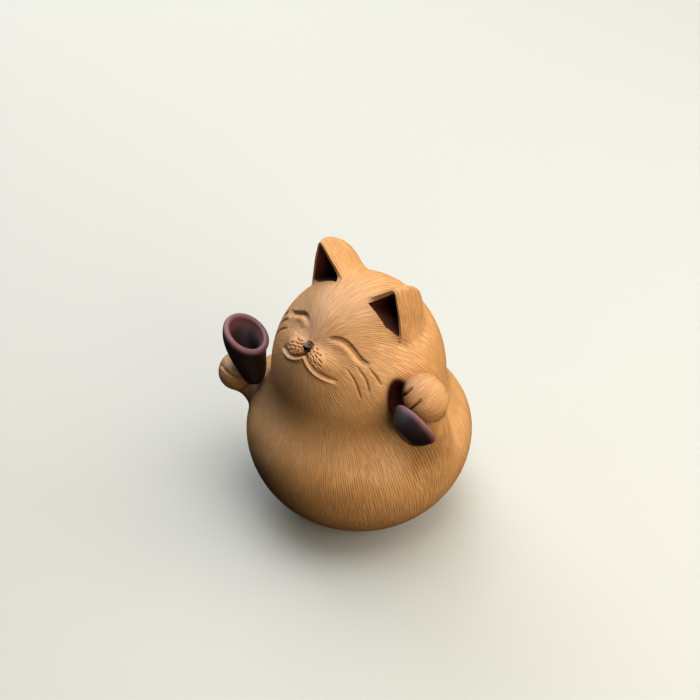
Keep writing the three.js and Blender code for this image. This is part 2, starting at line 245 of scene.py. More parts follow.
def earRings(side, form):
    # the outline shrinks towards the middle of its lower side as it goes back
    middle, radius = threeCornered(form["corners"], form["sharpness"], earForm["bulge"])
    anchor = (np.array(form["corners"][0]) + form["corners"][1]) / 2
    back = form["depth"] * np.sin(np.pi / 2 * np.linspace(0, 1, earForm["rows"]) ** 1.3)
    scale = earScale(form, back)
    scale = np.concatenate([scale[0] * np.array([0, 0.35, 0.7]), scale])
    back = np.concatenate([[0, 0, 0], back])
    scale[-1] = 0
    angle = 2 * np.pi * np.arange(earForm["columns"]) / earForm["columns"]
    outline = middle + radius(angle)[:, None] * np.stack([np.cos(angle), np.sin(angle)], -1)
    x = anchor[0] + (outline[:, 0] - anchor[0]) * scale[:, None]
    z = anchor[1] + (outline[:, 1] - anchor[1]) * scale[:, None] + earForm["lean"] * back[:, None]
    y = np.broadcast_to(form["front"] + back[:, None], x.shape)
    return np.stack([side * x, y, z], -1)


def hoodValue(points, side):
    # distance from the anchor in the x-z plane, less the outline's own at that depth
    form = earForm["hood"]
    middle, radius = threeCornered(form["corners"], form["sharpness"], earForm["bulge"])
    anchor = (np.array(form["corners"][0]) + form["corners"][1]) / 2
    back = points[..., 1] - form["front"]
    scale = np.maximum(earScale(form, back), 0.03)
    x = (side * points[..., 0] - anchor[0]) / scale + anchor[0] - middle[0]
    z = (points[..., 2] - earForm["lean"] * back - anchor[1]) / scale + anchor[1] - middle[1]
    value = (np.hypot(x, z) - radius(np.arctan2(z, x))) * scale
    return np.maximum(value, np.maximum(-back, back - form["depth"]))


# Arms and paws
armForm = {
    "left": {"path": ((28.0, 1.5, 35.0), (33.4, 0.2, 46.0), (34.3, -1.8, 56.0), (33.4, -3.0, 64.0)),
             "radius": 5.5, "paw": (33.0, -3.0, 64.3), "pawRadii": (7.8, 6.8, 6.0),
             "across": (0.80, 0.17, -0.57), "along": (-0.10, -0.90, -0.42), "columns": 120},
    "right": {"path": ((-26.0, -10.0, 33.0), (-31.8, -15.4, 35.2), (-36.6, -18.8, 38.8)),
              "radius": 5.5, "paw": (-37.6, -19.3, 40.1), "pawRadii": (6.6, 6.3, 6.3),
              "across": (0.15, 0.55, 0.82), "along": (0.55, -0.83, 0.05), "columns": 84},
    "shoulderBlend": 4.0, "upperBlend": 0.7, "upperFrom": 46.0, "upperTo": 54.0, "wristBlend": 2.0,
    "toeGrooves": (-4.9, -0.3), "toeStart": 0.22, "toeEnd": 1.12,
}


def pawAxes(arm):  # across the toes, along the toes, and out of the back of the paw
    first = unit(arm["across"])
    second = np.asarray(arm["along"]) - np.dot(arm["along"], first) * first
    second = unit(second)
    return np.stack([first, second, np.cross(second, first)])


def smoothPath(points, count):
    # Catmull-Rom: each stretch is a cubic whose slopes are half the step between its neighbours
    points = np.asarray(points, float)
    full = np.concatenate([[2 * points[0] - points[1]], points, [2 * points[-1] - points[-2]]])
    place = np.linspace(0, len(points) - 1 - 1e-9, count)
    k = place.astype(int)
    t = (place - k)[:, None]
    p0, p1, p2, p3 = full[k], full[k + 1], full[k + 2], full[k + 3]
    return 0.5 * (2 * p1 + (p2 - p0) * t + (2 * p0 - 5 * p1 + 4 * p2 - p3) * t ** 2
                  + (3 * p1 - p0 - 3 * p2 + p3) * t ** 3)


def armSpheres(arm):  # centres and radii along the arm; both ends are round
    spheres = 70
    radius = arm["radius"] * np.sqrt(np.sin(np.pi * np.linspace(0.05, 0.95, spheres)))
    return smoothPath(arm["path"], spheres), radius


def armValue(points, arm):  # nearest of the spheres strung along the arm's path
    centres, radius = armSpheres(arm)
    value = np.full(points.shape[:-1], 1e3)
    for centre, r in zip(centres, radius):
        value = np.minimum(value, np.linalg.norm(points - centre, axis=-1) - r)
    return value


def tubeRings(centres, radius, columns):
    # rings square to the path, their first axis carried on from ring to ring
    forward = unit(np.gradient(centres, axis=0))
    first = [unit(np.cross(forward[0], [0.3, 0.9, 0.1]))]
    for k in range(1, len(centres)):
        first.append(unit(first[-1] - np.dot(first[-1], forward[k]) * forward[k]))
    first = np.array(first)
    second = np.cross(forward, first)
    angle = 2 * np.pi * np.arange(columns) / columns
    ring = np.cos(angle)[:, None] * first[:, None] + np.sin(angle)[:, None] * second[:, None]
    rings = centres[:, None] + radius[:, None, None] * ring
    ends = [np.broadcast_to(centres[k] + unit(centres[k] - centres[j]) * radius[k] * 0.6, rings[0].shape)
            for k, j in ((0, 1), (-1, -2))]
    return np.concatenate([[ends[0]], rings, [ends[1]]])


def ellipsoidRings(centre, radii, axes, rows, columns):
    # by polar angle and turn: sine times cosine, minus cosine, sine times sine; poles on the second axis
    polar = np.linspace(0, np.pi, rows)[:, None]
    turn = 2 * np.pi * np.arange(columns) / columns
    ball = [np.sin(polar) * np.cos(turn), -np.cos(polar) * np.ones_like(turn), np.sin(polar) * np.sin(turn)]
    return np.array(centre) + (np.stack(ball, -1) * radii) @ np.array(axes)


def undercutValue(points):
    return ellipsoidValue(points, *bodyForm["undercut"])


def catValue(points):  # body less its undercut, ears, arms and paws, each joined with its own blend
    value = -blendUnion(-bodyValue(points), undercutValue(points), bodyForm["undercutBlend"])
    for side in (-1, 1):
        value = blendUnion(value, hoodValue(points, side), earForm["blend"])
    for key in ("left", "right"):
        arm = armForm[key]
        low, high = armForm["upperFrom"], armForm["upperTo"]
        rise = ramp(points[..., 2], low, high - low)
        blend = armForm["shoulderBlend"] + (armForm["upperBlend"] - armForm["shoulderBlend"]) * rise
        paw = ellipsoidValue(points, arm["paw"], arm["pawRadii"], pawAxes(arm))
        limb = blendUnion(armValue(points, arm), paw, armForm["wristBlend"])
        value = blendUnion(value, limb, blend)
    return value


def settle(points, value, rounds=4, reach=0.02):
    # steps down the slope of value: point less value * slope / (length of slope squared)
    for _ in range(rounds):
        slope = np.stack([(value(points + shift) - value(points - shift)) / (2 * reach)
                          for shift in np.eye(3) * reach], -1)
        move = value(points)[:, None] * slope / np.maximum((slope ** 2).sum(-1, keepdims=True), 0.05)
        points = points - np.clip(move, -0.8, 0.8)
    return points


# Carving: lines of the face, dots of the muzzle, toes, and the fur
faceForm = {
    "eye": {"inner": 4.4, "outer": 17.9, "innerZ": 78.1, "drop": 4.3, "arch": 1.55, "archLean": 0.8,
            "depth": 1.5, "above": 0.26, "below": 0.95, "cheek": 0.5, "cheekAt": 2.3, "cheekWidth": 1.2},
    "mouth": {"reach": 11.8, "topZ": 72.6, "drop": 4.1, "curl": 2.1, "skew": 1.0, "depth": 1.9,
              "above": 0.5, "below": 0.36, "lip": 0.6, "lipAt": 1.05, "lipWidth": 0.48,
              "overlap": 0.3, "lineFade": 0.5, "lipFade": 0.6},
    "front": -4.0, "between": (58.0, 84.0),   # largest y, and range of z, that the carving reaches
    "whiskers": (((13.7, 72.0), (16.9, 69.4), (19.0, 66.1), (19.8, 63.8)),
                 ((15.6, 73.0), (18.9, 70.2), (20.6, 67.4), (21.3, 65.4)),
                 ((18.6, 72.6), (20.9, 70.4), (22.8, 67.6))),
    "whiskerDepth": 0.85, "whiskerWidth": 0.26,
    "dots": {"centre": (4.3, 72.9), "radii": (3.9, 1.9), "slope": -0.32, "spacing": 1.0,
             "rowShare": 0.86, "size": 0.32, "depth": 0.8, "stray": 0.22, "seed": 11},
    "toeDepth": 1.7, "toeWidth": 0.36,
    "noseWidth": 2.7, "noseHeight": 2.5, "noseDepth": 2.4, "noseEase": 0.35,
    "noseSharpness": 4, "gap": 0.3, "socketWall": 0.35,
}
furForm = {
    "lines": 256,        # round the nose; only each second, fourth ... is cut where they would crowd
    "closest": 0.78,     # least distance between lines
    "depth": 0.07, "width": 0.21, "length": 11.0, "wobble": 0.16,
    "ball": 40.0, "earReach": 9.0,       # radii by which turns become ways along the fur
    "limbSpacing": 0.7,
    "spreads": ((36, 18), (84, 34)),     # ring length where lines come in between, and over how much
    # where an ear, a limb and a paw take over: value that they start from, and over how much
    "earTakes": (0.6, 1.5), "limbTakes": (0.4, 1.2), "pawTakes": (-0.5, 1.0),
    "baseFrom": (0.4, 2.0), "undercutFade": 0.8,
    "calm": {"nose": (2.2, 1.2), "lipBelow": 0.7, "lips": (0.9, 0.8), "onLips": 0.25,
             "dotMargin": 0.6, "dots": (0.85, 0.3), "front": -10.0, "above": 62.0},
    "seed": 7,
}
furTable = np.random.default_rng(furForm["seed"]).random((1024, 4))


def pathDistance(points, path):
    # least distance to the straight stretches of a path, and how far along it that is, 0 to 1
    best, place = np.full(len(points), 1e3), np.zeros(len(points))
    for k in range(len(path) - 1):
        step = path[k + 1] - path[k]
        t = np.clip(((points - path[k]) @ step) / (step @ step), 0, 1)
        distance = np.linalg.norm(points - path[k] - t[:, None] * step, axis=-1)
        nearer = distance < best
        best = np.where(nearer, distance, best)
        place = np.where(nearer, (k + t) / (len(path) - 1), place)
    return best, place


def eyeHeight(x):  # a fall by smooth step plus one arch of a sine that leans towards the nose
    eye = faceForm["eye"]
    t = np.clip((np.abs(x) - eye["inner"]) / (eye["outer"] - eye["inner"]), 0, 1)
    return eye["innerZ"] - eye["drop"] * smoothStep(t) + eye["arch"] * np.sin(np.pi * t ** eye["archLean"])


def mouthLine(side, t):  # falls ever more gently from under the nose to the corner, a little askew
    mouth = faceForm["mouth"]
    fall = 1 - (1 - np.clip(t, 0, 1)) ** mouth["curl"]
    return side * mouth["reach"] * t + mouth["skew"] * fall, mouth["topZ"] - mouth["drop"] * fall


def mouthHeight(x, side):  # the same line read by x
    along = np.linspace(0, 1, 60)
    lineX, lineZ = mouthLine(side, along)
    return np.interp(side * x, side * lineX, lineZ)


def faded(place, power=0.45):  # rises from 0 at one end of a line and falls to 0 at the other
    return np.sin(np.pi * np.clip(place, 0.0, 1.0)) ** power


def bell(distance, width, power=2):
    return np.exp(-(distance / width) ** power)


def eyeCarving(points, side):  # a bell across the line, steep above it, and a second bell lifts the cheek
    eye = faceForm["eye"]
    x = np.linspace(eye["inner"], eye["outer"], 48)
    distance, place = pathDistance(points, frontPoint(side * x, eyeHeight(x)))
    above = points[:, 2] > eyeHeight(points[:, 0])
    line = eye["depth"] * faded(place) * bell(distance, np.where(above, eye["above"], eye["below"]))
    cheek = eye["cheek"] * faded(place) * bell(distance - eye["cheekAt"], eye["cheekWidth"])
    return np.where(above, 0, cheek) - line


def mouthCarving(points, side):  # a bell across the line, and a second one under it lifts the lip
    mouth = faceForm["mouth"]
    distance, place = pathDistance(points, frontPoint(*mouthLine(side, np.linspace(0, 1, 40))))
    above = points[:, 2] > mouthHeight(points[:, 0], side)
    middle = side * mouth["skew"] / 2 * smoothStep(distance) - mouth["overlap"]
    own = side * points[:, 0] > middle
    line = mouth["depth"] * faded(0.5 + 0.5 * place, mouth["lineFade"])
    line = line * bell(distance, np.where(above, mouth["above"], mouth["below"]))
    lip = mouth["lip"] * faded(0.08 + 0.92 * place, mouth["lipFade"])
    lip = lip * bell(distance - mouth["lipAt"], mouth["lipWidth"])
    return np.where(own & ~above, lip, 0) - np.where(own, line, 0)


def whiskerCarving(points, side):  # each a bell across a bent line
    height = np.zeros(len(points))
    for line in faceForm["whiskers"]:
        bent = smoothPath(np.array([(x, 0, z) for x, z in line]), 16)
        distance, place = pathDistance(points, frontPoint(side * bent[:, 0], bent[:, 2]))
        height -= faceForm["whiskerDepth"] * faded(place) * bell(distance, faceForm["whiskerWidth"])
    return height


def dotCarving(points):  # each a pit with steep sides, a bell of the fourth power
    dots, height = faceForm["dots"], np.zeros(len(points))
    for x, z in dotPlaces():
        distance = np.linalg.norm(points - frontPoint(x, z), axis=-1)
        height -= dots["depth"] * bell(distance, dots["size"], 4)
    return height


def faceCarving(points):  # height to add along the normal
    low, high = faceForm["between"]
    near = np.where((points[:, 1] < faceForm["front"]) & (points[:, 2] > low) & (points[:, 2] < high))[0]
    height, spots = np.zeros(len(points)), points[near]
    for side in (-1, 1):
        for carving in (eyeCarving, mouthCarving, whiskerCarving):
            height[near] += carving(spots, side)
    height[near] += dotCarving(spots)
    return height


def dotPlaces():  # a staggered grid inside an oval on each side, each place moved a little
    dots = faceForm["dots"]
    shuffle = np.random.default_rng(dots["seed"])
    i, j = np.meshgrid(np.arange(-5, 6), np.arange(-4, 5))
    x = (i + 0.5 * (j % 2)) * dots["spacing"]
    z = j * dots["spacing"] * dots["rowShare"]
    inside = (x / dots["radii"][0]) ** 2 + (z / dots["radii"][1]) ** 2 < 1
    x, z = x[inside], z[inside]
    places = []
    for side in (-1, 1):
        moved = shuffle.uniform(-dots["stray"], dots["stray"], (2, len(x)))
        places.append(np.stack([side * (dots["centre"][0] + x + moved[0]),
                                dots["centre"][1] + z + moved[1] + dots["slope"] * x], -1))
    return np.concatenate(places)


def noseOutline(angle, grow):  # a triangle that stands on a corner, rounded and eased outwards
    width, height = faceForm["noseWidth"] / 2, faceForm["noseHeight"] / 2
    corners = ((-width, height), (width, height), (0, -height))
    middle, radius = threeCornered(corners, faceForm["noseSharpness"])
    return middle, radius(angle) + faceForm["noseEase"] + grow


def socketCarving(points):  # a smooth step down inside the nose's own outline, grown by the gap
    centre = frontPoint(*noseAt)
    middle, _ = noseOutline(0.0, 0)
    x, z = points[:, 0] - noseAt[0] - middle[0], points[:, 2] - noseAt[1] - middle[1]
    _, radius = noseOutline(np.arctan2(z, x), faceForm["gap"] * 0.8)
    depth = faceForm["noseDepth"] / 2 + faceForm["gap"]
    near = np.linalg.norm(points - centre, axis=-1) < 4
    return np.where(near, -depth * smoothStep((radius - np.hypot(x, z)) / faceForm["socketWall"]), 0)


def toeCarving(points):  # grooves that part the toes, laid on the paw as arcs
    height = np.zeros(len(points))
    for key in ("left", "right"):
        arm = armForm[key]
        across, along, out = pawAxes(arm)
        a, b, c = arm["pawRadii"]
        near = np.where(np.linalg.norm(points - np.array(arm["paw"]), axis=-1) < 10)[0]
        for place in armForm["toeGrooves"]:
            narrow = np.sqrt(1 - (place / a) ** 2)
            turn = np.linspace(armForm["toeStart"], armForm["toeEnd"], 24)[:, None] * np.pi / 2
            path = (np.array(arm["paw"]) + across * place + along * b * narrow * np.sin(turn)
                    + out * c * narrow * np.cos(turn))
            distance, share = pathDistance(points[near], path)
            groove = faded(share, 0.6) * bell(distance, faceForm["toeWidth"])
            height[near] -= faceForm["toeDepth"] * groove
    return height


def strokeDepth(line, along, offset, spacing):
    # one groove: a bell across its distance in mm, times a pulse along it that starts and stops. Its
    # length, start, bend and depth are drawn from the table
    pick = furTable[np.mod(line, 1024).astype(int)]
    run = along / (furForm["length"] * (0.7 + 0.6 * pick[:, 0])) + 7 * pick[:, 1]
    pulse = np.clip(1.5 * np.abs(np.sin(np.pi * run)) ** 0.5 - 0.1, 0, 1)
    bend = furForm["wobble"] * spacing * np.sin(along / 2.1 + 6.3 * pick[:, 2])
    return (0.65 + 0.35 * pick[:, 3]) * pulse * bell(offset - bend, furForm["width"])


def roundTheNose(points):
    # turn about the nose, way from it in mm on a ball as large as the head, and the whole ring's length
    offset = points - np.array(bodyForm["middle"])
    reach = np.linalg.norm(offset, axis=-1)
    direction = offset / reach[:, None]
    w = (direction[:, 0] + 1j * direction[:, 1]) / np.maximum(1 + direction[:, 2], 1e-6)
    fromNose = w + 1j * np.tan(noseTilt / 2)
    ring = np.abs(fromNose) * 2 / (1 + np.abs(w) ** 2) * reach * 2 * np.pi
    return np.angle(fromNose), 2 * np.arctan(np.abs(fromNose)) * furForm["ball"], ring


def bodyFur(points):
    # Lines are cut where they are at least `closest` apart; between them the next set fades in
    turn, along, ring = roundTheNose(points)
    line = turn / (2 * np.pi) * furForm["lines"]
    gap = ring / furForm["lines"]
    crowd = np.log2(np.maximum(furForm["closest"] / np.maximum(gap, 1e-4), 1e-3))
    level = np.clip(np.ceil(crowd), 0, 6)
    every = 2 ** level
    nearest = np.round(line / every) * every
    depth = strokeDepth(nearest, along, (line - nearest) * gap, gap * every)
    half = every / 2
    odd = (np.floor(line / every) + 0.5) * every
    fade = np.where(level > 0, smoothStep((level - crowd) * 1.6), 0)
    between = strokeDepth(odd + 500, along, (line - odd) * gap, gap * half) * fade
    return np.maximum(depth, between)


def flatFur(lines, along, spacing, salt):  # evenly spaced lines; lines counts them across
    line = np.round(lines)
    return strokeDepth(line + salt, along, (lines - line) * spacing, spacing)


def limbFields(points):
    # for each ear, paw and arm: its share of each point, lines counted across the fur and how many go
    # round, the way along it in mm and round, the spacing and a salt for the lines' own numbers.
    # The share rises where its own surface lies outside the body's
    body, spacing, earReach = bodyValue(points), furForm["limbSpacing"], furForm["earReach"]
    fields = []
    for side in (-1, 1):
        form = earForm["hood"]
        middle, _ = threeCornered(form["corners"], form["sharpness"])
        back = np.clip((points[:, 1] - form["front"]) / form["depth"], 0, 1)
        angle = np.arctan2(points[:, 2] - middle[1], side * points[:, 0] - middle[0])
        own = ramp(body - hoodValue(points, side), *furForm["earTakes"])
        fields.append((own, np.arcsin(back) * form["depth"] * 0.85 / spacing, 0,
                       angle * earReach, 2 * np.pi * earReach, spacing, 90 + 40 * side))
    for key, salt in (("left", 300), ("right", 360)):
        arm = armForm[key]
        across, along, out = pawAxes(arm)
        offset = points - np.array(arm["paw"])
        paw = ellipsoidValue(points, arm["paw"], arm["pawRadii"], pawAxes(arm))
        limb = armValue(points, arm)
        own = ramp(body - np.minimum(limb, paw), *furForm["limbTakes"])
        wrist = ramp(limb - paw, *furForm["pawTakes"])
        turn = np.arctan2(offset @ out, offset @ across) / (2 * np.pi)
        roundPaw = np.round(2 * np.pi * arm["pawRadii"][1] / spacing)
        fields.append((own * wrist, turn * roundPaw, roundPaw, offset @ along, 0, spacing, salt))
        path = np.array(arm["path"])
        centre = [np.interp(points[:, 2], path[:, 2], path[:, k]) for k in (0, 1)]
        turn = np.arctan2(points[:, 1] - centre[1], points[:, 0] - centre[0]) / (2 * np.pi)
        roundArm = np.round(2 * np.pi * arm["radius"] / spacing)
        fields.append((own * (1 - wrist), turn * roundArm, roundArm, points[:, 2], 0,
                       spacing, salt + 30))
    return fields


def furDepth(points):  # the body's grooves and the limbs', each by its share, none in the undercut
    depth, rest = bodyFur(points), np.ones(len(points))
    limbs = np.zeros(len(points))
    for own, lines, _, along, _, spacing, salt in limbFields(points):
        limbs += own * flatFur(lines, along, spacing, salt)
        rest = rest - own
    depth = depth * np.clip(rest, 0, 1) + limbs
    outside = ramp(undercutValue(points), 0, furForm["undercutFade"]) + (points[:, 0] > undercutInnerX)
    return depth * np.clip(outside, 0, 1) * ramp(points[:, 2], *furForm["baseFrom"])


def unrolled(values, corners, starts, period):
    # corner values of each face, where a face spans the end of a turn its low ones go up by a period
    at = values[corners]
    if period:
        low, high = np.minimum.reduceat(at, starts), np.maximum.reduceat(at, starts)
        wide = np.repeat(high - low > period / 2, np.diff(np.append(starts, len(at))))
        at = np.where(wide & (at < 0), at + period, at)
    return at


def fineFur(thing, points):
    # UV maps for the finest strokes, which the material draws: lines counted across, mm along; and how
    # far the body's lines have spread, 0 near the nose, 1 on the cheeks, 2 from the chest on
    mesh = thing.data
    corners = np.empty(len(mesh.loops), int)
    mesh.loops.foreach_get("vertex_index", corners)
    starts = np.empty(len(mesh.polygons), int)
    mesh.polygons.foreach_get("loop_start", starts)
    turn, way, ring = roundTheNose(points)
    count = furForm["lines"]
    body = np.stack([unrolled(turn / (2 * np.pi) * count, corners, starts, count), way[corners]], -1)
    limb, share = np.zeros((len(corners), 2)), np.zeros(len(points))
    for own, lines, linesRound, along, alongRound, spacing, salt in limbFields(points):
        place = np.stack([unrolled(lines, corners, starts, linesRound) + salt,
                          unrolled(along, corners, starts, alongRound)], -1)
        limb += own[corners][:, None] * place
        share += own
    limb /= np.maximum(share, 1e-3)[corners][:, None]
    for name, values in (("furPlace", body), ("limbPlace", limb)):
        mesh.uv_layers.new(name=name).data.foreach_set("uv", values.ravel())
    spread = sum(ramp(ring, first, over) for first, over in furForm["spreads"])
    return spread, np.clip(share, 0, 1)


def calmPlaces(points):  # 1 where fur is cut, less on the lips, none on the nose and the dots
    calm, dots, x = furForm["calm"], faceForm["dots"], points[:, 0]
    front = (points[:, 1] < calm["front"]) & (points[:, 2] > calm["above"])
    share = ramp(np.linalg.norm(points - frontPoint(*noseAt), axis=-1), *calm["nose"])
    lipHeight = np.where(x > 0, mouthHeight(x, 1), mouthHeight(x, -1)) - calm["lipBelow"]
    lips = ramp(np.abs(points[:, 2] - lipHeight), *calm["lips"])
    onLips = front & (np.abs(x) < faceForm["mouth"]["reach"])
    share *= np.where(onLips, calm["onLips"] + (1 - calm["onLips"]) * lips, 1)
    aside = np.abs(x) - dots["centre"][0]
    rise = points[:, 2] - dots["centre"][1] - dots["slope"] * aside
    wide, high = np.array(dots["radii"]) + calm["dotMargin"]
    return share * np.where(front, ramp(np.hypot(aside / wide, rise / high), *calm["dots"]), 1)


# Cups
cupForm = {
    "tall": {"rim": (-32.0, -19.3, 59.6), "rimAxis": (0.44, 0.235, 0.866), "rimRadius": 8.2,
             "foot": (-28.7, -20.0, 42.0), "footAxis": (0.0, 0.0, 1.0), "footRadius": 2.4,
             "fullness": 1.3, "wall": 2.1, "throat": 1.3, "throatDepth": 5.5},
    "shallow": {"rim": (35.8, -9.0, 59.1), "rimAxis": (0.02, 0.917, 0.394), "rimRadius": 8.1,
                "foot": (35.67, -15.1, 56.5), "footAxis": (0.02, 0.917, 0.394), "footRadius": 3.0,
                "fullness": 1.5, "wall": 1.7, "throat": 0.0, "throatDepth": 3.0},
    # the last two: how far the painted highlight on the lip reaches down outside and down the bore, in mm
    "floor": 1.8, "leastBore": 1.2, "gap": 0.3, "lipHighlightDepth": 1.7, "boreHighlightDepth": 4.5,
    "columns": 160, "rows": 60,
}


def cupRadius(cup, along):  # from foot to rim, full in the middle: (1 - (1 - a)^f)^(1/f)
    f = cup["fullness"]
    swell = (1 - (1 - np.clip(along, 0, 1)) ** f) ** (1 / f)
    return cup["footRadius"] + (cup["rimRadius"] - cup["footRadius"]) * swell


def cupRings(cup, along, radius, columns):
    # rings on a bent axis: a cubic from foot to rim, the rings' own axis turning on the way
    foot, rim = np.array(cup["foot"]), np.array(cup["rim"])
    height = np.linalg.norm(rim - foot)
    a = np.asarray(along)[:, None]
    axis = unit((1 - a) * np.array(cup["footAxis"]) + a * np.array(cup["rimAxis"]))
    p1 = foot + unit(cup["footAxis"]) * height / 3
    p2 = rim - unit(cup["rimAxis"]) * height / 3
    middle = (1 - a) ** 3 * foot + 3 * a * (1 - a) ** 2 * p1 + 3 * a ** 2 * (1 - a) * p2 + a ** 3 * rim
    across = unit(np.array([1.0, 0, 0]) - axis[:, :1] * axis)
    aside = np.cross(axis, across)
    angle = 2 * np.pi * np.arange(columns) / columns
    ring = np.cos(angle)[:, None] * across[:, None] + np.sin(angle)[:, None] * aside[:, None]
    return middle[:, None] + np.asarray(radius)[:, None, None] * ring


def cupProfile(cup):
    # out along the foot, up the outer wall, over a lip that is half a round, down inside, where the
    # wall thickens by throat over throatDepth
    height = np.linalg.norm(np.subtract(cup["rim"], cup["foot"]))
    wall = cup["wall"]
    lip, floor = wall / 2 / height, cupForm["floor"] / height
    up = np.linspace(0.02, 1 - lip, cupForm["rows"])
    turn = np.linspace(0, np.pi, 19)
    over = cupRadius(cup, 1 - lip) - wall / 2 * (1 - np.cos(turn))
    down = np.linspace(1 - lip, floor, cupForm["rows"])
    thicker = cup["throat"] * smoothStep((1 - lip - down) * height / cup["throatDepth"])
    inner = np.maximum(cupForm["leastBore"], cupRadius(cup, down) - wall - thicker)
    inner = inner * np.minimum(1, np.sqrt(np.clip((down - floor) / (1.6 / height), 0, 1)) * 0.3 + 0.7)
    along = np.concatenate([[0, 0, 0, 0.005], up, 1 - lip + lip * np.sin(turn[1:-1]), down,
                            [floor, floor, floor]])
    foot = cup["footRadius"]
    radius = np.concatenate([[0, 0.5 * foot, 0.9 * foot, 0.97 * foot], cupRadius(cup, up), over[1:-1],
                             inner, [inner[-1] * 0.7, inner[-1] * 0.35, 0]])
    return along, radius


def paintedLipHighlight(cup, along):  # painted highlight: 1 on the lip, 0 from lipHighlightDepth below it and from boreHighlightDepth down the bore
    height = np.linalg.norm(np.subtract(cup["rim"], cup["foot"]))
    inside = np.arange(len(along)) > np.argmax(along)
    depth = np.where(inside, cupForm["boreHighlightDepth"], cupForm["lipHighlightDepth"])
    return 1 - smoothStep((1 - along) * height / depth - np.where(inside, 0.1, 0.45))


def cupRoom(cup):  # the room the cup takes up in the paw that holds it
    height = np.linalg.norm(np.subtract(cup["rim"], cup["foot"]))
    gap = cupForm["gap"] / height
    along = np.concatenate([[-gap], np.linspace(-gap, 1 + gap, 24), [1 + gap]])
    radius = cupRadius(cup, along) + cupForm["gap"]
    radius[[0, -1]] = 0
    return closedObject("room", cupRings(cup, along, radius, 72))


# Materials
def colour(code):  # sRGB hex to linear, with full alpha
    parts = [int(code[k:k + 2], 16) / 255 for k in (1, 3, 5)]
    linear = [p / 12.92 if p <= 0.04045 else ((p + 0.055) / 1.055) ** 2.4 for p in parts]
    return (*linear, 1.0)


def node(tree, kind, settings=None, links=None):  # adds a node, sets fields or sockets, links into it
    made = tree.nodes.new("ShaderNode" + kind)
    for key, value in (settings or {}).items():
        if isinstance(key, str) and hasattr(made, key):
            setattr(made, key, value)
        else:
            made.inputs[key].default_value = value
    for key, source in (links or {}).items():
        tree.links.new(source, made.inputs[key])
    return made


def newMaterial(name):
    material = bpy.data.materials.new(name)
    material.use_nodes = True
    tree = material.node_tree
    shader = tree.nodes["Principled BSDF"]
    return material, tree, shader


yellowClayLook = {"light": "#e9b172", "dark": "#d19350", "cut": "#3a1c09", "roughness": 0.46,
                  "mottle": 9.0, "grain": 0.35, "strokeLength": 8.0, "strokeRelief": 0.15,   # in mm
                  "strokeShade": 0.28, "sway": 0.65}   # sway in lines


